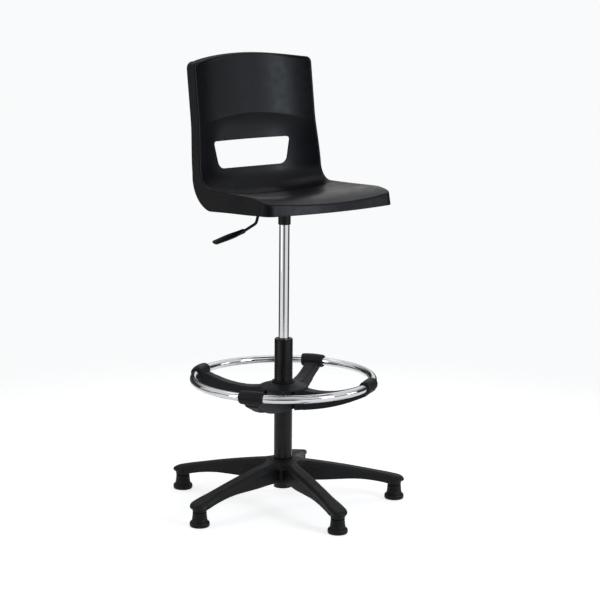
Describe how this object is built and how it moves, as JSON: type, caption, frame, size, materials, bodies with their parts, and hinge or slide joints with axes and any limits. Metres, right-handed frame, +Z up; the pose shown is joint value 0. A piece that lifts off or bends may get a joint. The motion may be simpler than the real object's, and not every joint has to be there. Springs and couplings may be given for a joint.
{
  "type": "drafting chair",
  "caption": "High swivel chair with a moulded black shell, gas height adjustment by a side lever, an adjustable chrome foot ring and a star base on fixed glides.",
  "frame": {"origin": "on the floor under the column axis", "axes": "+Z up along the column, the chair faces -Y, the sitter's right and the lever are on -X"},
  "size_m": [0.6487, 0.6454, 1.2292],
  "materials": {
    "shell_plastic": "satin moulded polypropylene, fine texture",
    "nylon_black": "matte glass-filled nylon",
    "ring_nylon": "matte nylon, slightly lighter",
    "glide_plastic": "matte moulded plastic",
    "black_steel": "black powder coat, satin",
    "tube_black": "smooth black powder coat",
    "chrome": "bright chrome plate",
    "bright_steel": "zinc-plated steel",
    "brass": "machined brass",
    "rubber": "moulded rubber",
    "bush_plastic": "acetal bush, satin",
    "grip_plastic": "satin moulded plastic"
  },
  "bodies": {
    "base": {"star_base": "nylon_black", "hub_ring": "bright_steel", "glide_stems": "bright_steel", "glide_1": "glide_plastic", "glide_2": "glide_plastic", "glide_3": "glide_plastic", "glide_4": "glide_plastic", "glide_5": "glide_plastic", "column_tube": "tube_black", "column_end_plate": "bright_steel", "guide_bush": "bush_plastic", "bearing_lower_race": "bright_steel"},
    "piston": {"piston_rod": "bright_steel", "piston_head": "brass", "piston_seal": "rubber", "bump_stop": "rubber", "bearing_upper_race": "bright_steel", "bearing_cage": "brass", "bearing_balls": "bright_steel", "rod_clip": "bright_steel"},
    "seat": {"seat_shell": "shell_plastic", "seat_plate": "black_steel", "taper_socket": "black_steel", "plate_screws": "bright_steel", "lever_bracket": "black_steel", "lever_pivot_pin": "bright_steel", "gas_cylinder": "chrome", "valve_housing": "brass", "cylinder_gland": "bush_plastic", "rod_seal": "rubber"},
    "lever": {"lever_crank": "black_steel", "lever_rod": "black_steel", "lever_grip": "grip_plastic"},
    "release_pin": {"release_pin": "bright_steel"},
    "ring_collet": {"ring_collet": "nylon_black"},
    "foot_ring": {"foot_ring": "chrome", "ring_spider": "ring_nylon", "clamp_cap_1": "ring_nylon", "clamp_cap_2": "ring_nylon", "clamp_cap_3": "ring_nylon", "clamp_cap_4": "ring_nylon", "clamp_screws": "black_steel"}
  },
  "joints": [
    {"name": "seat_swivel", "type": "hinge", "parent": "base", "child": "piston", "pos_m": [0, 0, 0.06], "axis": [0, 0, 1], "continuous": true},
    {"name": "seat_height", "type": "slide", "parent": "piston", "child": "seat", "axis": [0, 0, 1], "range_m": [-0.26, 0]},
    {"name": "lever_tilt", "type": "hinge", "parent": "seat", "child": "lever", "pos_m": [-0.024, 0, 0.853], "axis": [0, 1, 0], "range_deg": [0, 6], "stiffness_Nm_per_rad": 1.5, "springref_deg": -5.73},
    {"name": "release_pin_slide", "type": "slide", "parent": "seat", "child": "release_pin", "axis": [0, 0, -1], "range_m": [0, 0.0026]},
    {"name": "foot_ring_height", "type": "slide", "parent": "base", "child": "ring_collet", "axis": [0, 0, 1], "range_m": [-0.12, 0.09]},
    {"name": "foot_ring_twist", "type": "hinge", "parent": "ring_collet", "child": "foot_ring", "pos_m": [0, 0, 0.303], "axis": [0, 0, 1], "range_deg": [0, 120]}
  ],
  "couplings": [
    {"joint": "release_pin_slide", "follows": "lever_tilt", "m_per_rad": 0.024}
  ]
}
